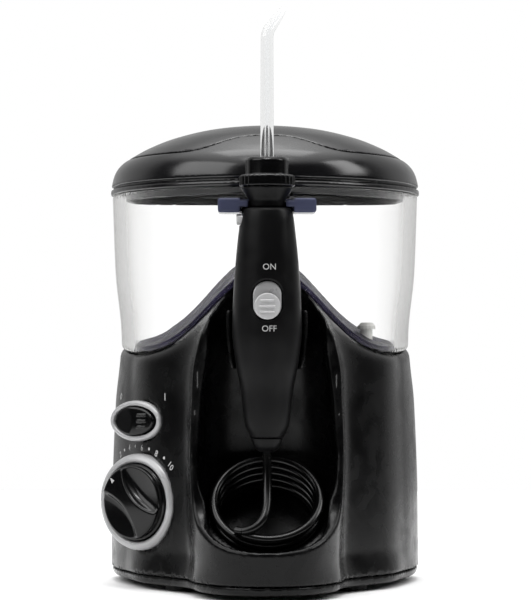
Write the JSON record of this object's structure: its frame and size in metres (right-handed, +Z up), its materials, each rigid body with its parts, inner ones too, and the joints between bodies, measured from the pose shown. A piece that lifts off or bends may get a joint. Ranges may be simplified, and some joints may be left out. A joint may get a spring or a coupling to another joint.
{
  "type": "countertop water flosser",
  "caption": "Countertop oral irrigator: base with pump and dial, clear reservoir, domed lid with tip store, and a handle with jet tip on a coiled hose.",
  "frame": {"origin": "on the surface the feet stand on, at the middle of the object's footprint", "axes": "+Z up, the front with the handle faces -Y, +X to the viewer's right when facing the front"},
  "size_m": [0.1426, 0.146, 0.2487],
  "materials": {
    "satin_black": "moulded ABS, satin",
    "gloss_black": "moulded ABS, polished",
    "handle_black": "moulded ABS, satin",
    "hose_black": "soft PVC hose, satin",
    "grey_plastic": "painted grey plastic, satin",
    "light_grey": "moulded grey plastic, satin",
    "white_plastic": "natural acetal",
    "rubber": "matt rubber",
    "steel": "zinc-plated steel",
    "brass": "turned brass",
    "clear_plastic": "clear moulded styrene, polished",
    "clear_tip": "clear moulded tip",
    "clear_tube": "clear PVC tube"
  },
  "bodies": {
    "base": {"base_housing": "satin_black", "base_plate": "satin_black", "foot_front_left": "rubber", "foot_front_right": "rubber", "foot_rear_left": "rubber", "foot_rear_right": "rubber", "screw_front_left": "steel", "screw_front_right": "steel", "screw_rear_left": "steel", "screw_rear_right": "steel", "dial_bezel": "grey_plastic", "regulator_valve": "white_plastic", "rocker_bezel": "grey_plastic", "switch_module": "white_plastic", "motor": "steel", "gear_bracket": "steel", "pump_cylinder": "white_plastic", "pump_head": "white_plastic", "feed_tube": "clear_tube", "outlet_tube": "clear_tube", "hose_feed_tube": "clear_tube", "hose_barb": "brass", "reservoir_seat": "rubber", "cord_gland": "rubber", "hose_coil": "hose_black", "hose_lead": "hose_black"},
    "dial": {"pressure_dial": "gloss_black", "regulator_stem": "steel"},
    "rocker": {"power_rocker": "gloss_black"},
    "rotor": {"motor_pinion": "steel"},
    "gear": {"drive_gear": "white_plastic", "crank_pin": "steel"},
    "pump_rod": {"piston": "white_plastic", "connecting_rod": "white_plastic"},
    "tank": {"reservoir": "clear_plastic", "outlet_valve": "white_plastic", "valve_seal": "rubber"},
    "lid": {"lid_body": "gloss_black", "hinge_pin": "steel", "tip_tray": "white_plastic", "spare_tip_1": "clear_tip", "spare_tip_2": "clear_tip", "spare_tip_3": "clear_tip"},
    "cover": {"lid_cover": "gloss_black"},
    "handle": {"handle_front_shell": "handle_black", "handle_rear_shell": "handle_black", "handle_head": "handle_black", "switch_plate": "grey_plastic", "pause_valve": "white_plastic", "water_tube_lower": "clear_tube", "water_tube_upper": "clear_tube", "hose_nut": "handle_black", "eject_spring": "steel"},
    "pause": {"pause_button": "light_grey", "valve_slider": "white_plastic"},
    "eject": {"eject_button": "light_grey"},
    "collar": {"tip_collar": "gloss_black"},
    "tip": {"jet_tip": "clear_tip"}
  },
  "joints": [
    {"name": "dial_turn", "type": "hinge", "parent": "base", "child": "dial", "pos_m": [-0.05665, -0.0072, 0.038], "axis": [-0.6157, -0.788, 0], "range_deg": [-99, 0]},
    {"name": "rocker_tilt", "type": "hinge", "parent": "base", "child": "rocker", "pos_m": [-0.05424, -0.00195, 0.0732], "axis": [0, 0, 1], "range_deg": [0, 14]},
    {"name": "gear_spin", "type": "hinge", "parent": "base", "child": "gear", "pos_m": [0, 0.04, 0.05], "axis": [1, 0, 0], "continuous": true},
    {"name": "motor_spin", "type": "hinge", "parent": "base", "child": "rotor", "pos_m": [0, 0.04, 0.03], "axis": [1, 0, 0], "continuous": true},
    {"name": "piston_stroke", "type": "slide", "parent": "base", "child": "pump_rod", "axis": [0, 0, 1], "range_m": [0, 0.008]},
    {"name": "reservoir_lift", "type": "slide", "parent": "base", "child": "tank", "axis": [0, 0, 1], "range_m": [0, 0.06]},
    {"name": "lid_lift", "type": "slide", "parent": "tank", "child": "lid", "axis": [0, 0, 1], "range_m": [0, 0.045]},
    {"name": "cover_hinge", "type": "hinge", "parent": "lid", "child": "cover", "pos_m": [0, 0.0699, 0.1878], "axis": [-1, 0, 0], "range_deg": [0, 100]},
    {"name": "handle_pull", "type": "slide", "parent": "tank", "child": "handle", "axis": [0, -1, 0], "range_m": [0, 0.06]},
    {"name": "pause_slide", "type": "slide", "parent": "handle", "child": "pause", "axis": [0, 0, 1], "range_m": [0, 0.0052]},
    {"name": "eject_press", "type": "slide", "parent": "handle", "child": "eject", "axis": [1, 0, 0], "range_m": [0, 0.0015], "stiffness_N_per_m": 300},
    {"name": "collar_turn", "type": "hinge", "parent": "handle", "child": "collar", "pos_m": [0, -0.047, 0.175], "axis": [0, 0, 1], "continuous": true},
    {"name": "tip_pull", "type": "slide", "parent": "collar", "child": "tip", "axis": [0, 0, 1], "range_m": [0, 0.03]}
  ],
  "couplings": [
    {"joint": "motor_spin", "follows": "gear_spin", "ratio": -3}
  ]
}
